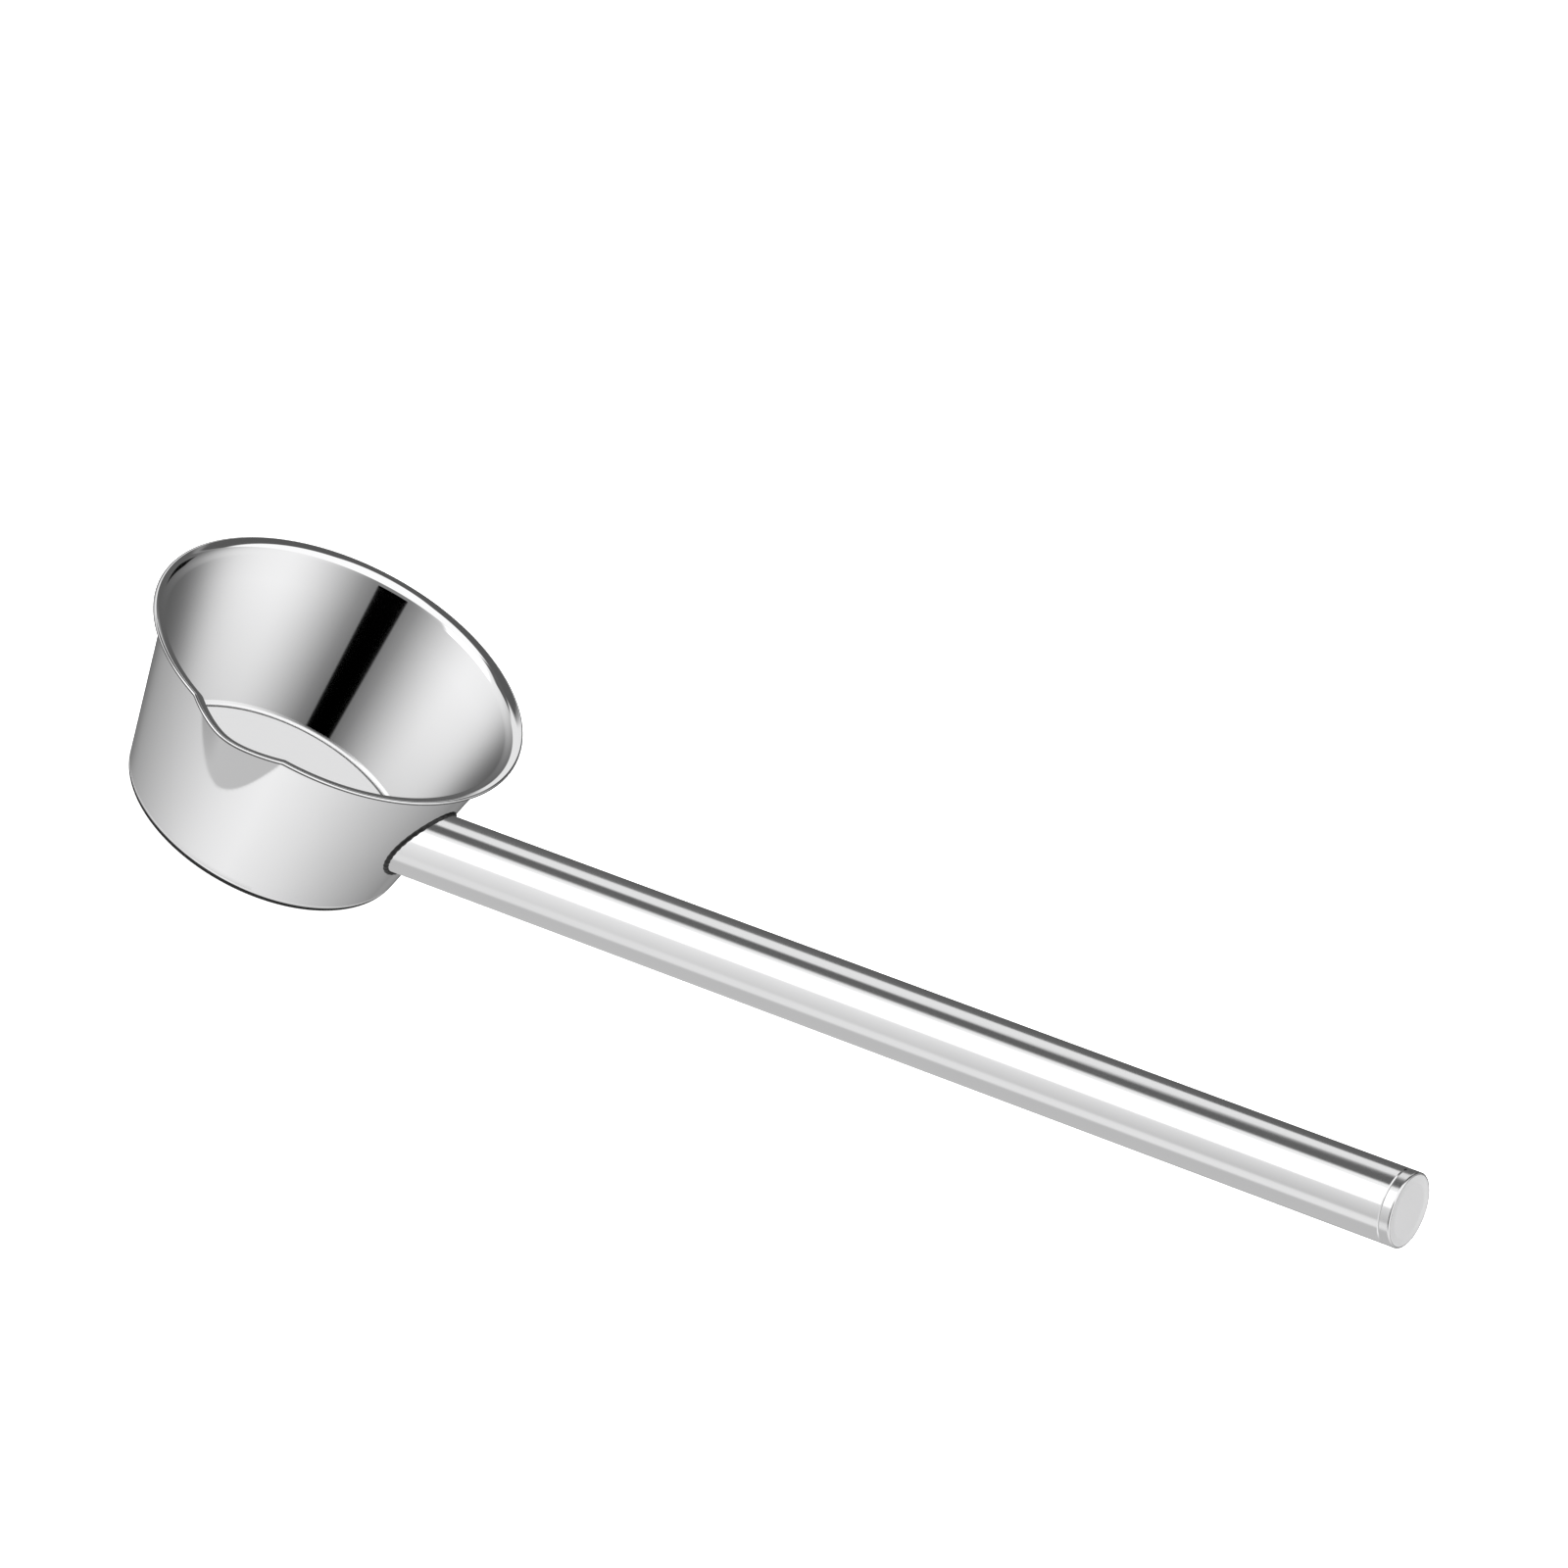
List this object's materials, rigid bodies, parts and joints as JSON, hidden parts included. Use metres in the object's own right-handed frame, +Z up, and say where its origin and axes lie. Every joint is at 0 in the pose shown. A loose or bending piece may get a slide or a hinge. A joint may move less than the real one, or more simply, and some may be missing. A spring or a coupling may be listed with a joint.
{
  "type": "candle melting pot",
  "caption": "Small polished steel melting pot: a flared bowl with a rolled lip and a side pour spout, on a long tube handle that rises away from it.",
  "frame": {"origin": "centre of the pot's flat base, on the surface that the base stands on", "axes": "+Z up along the bowl's own axis; +X from the bowl's axis towards the handle, which rises along it; the pour spout is near -Y"},
  "size_m": [0.368, 0.1066, 0.1527],
  "materials": {
    "polished_steel": "mirror-polished stainless steel",
    "weld_steel": "brushed-back weld",
    "aluminium_core": "plain rolled plate"
  },
  "bodies": {
    "root": {"pot_bowl": "polished_steel", "pot_base_cap": "polished_steel", "pot_base_core": "aluminium_core", "handle_tube": "polished_steel", "handle_weld": "weld_steel", "handle_end_cap": "polished_steel"}
  },
  "joints": []
}
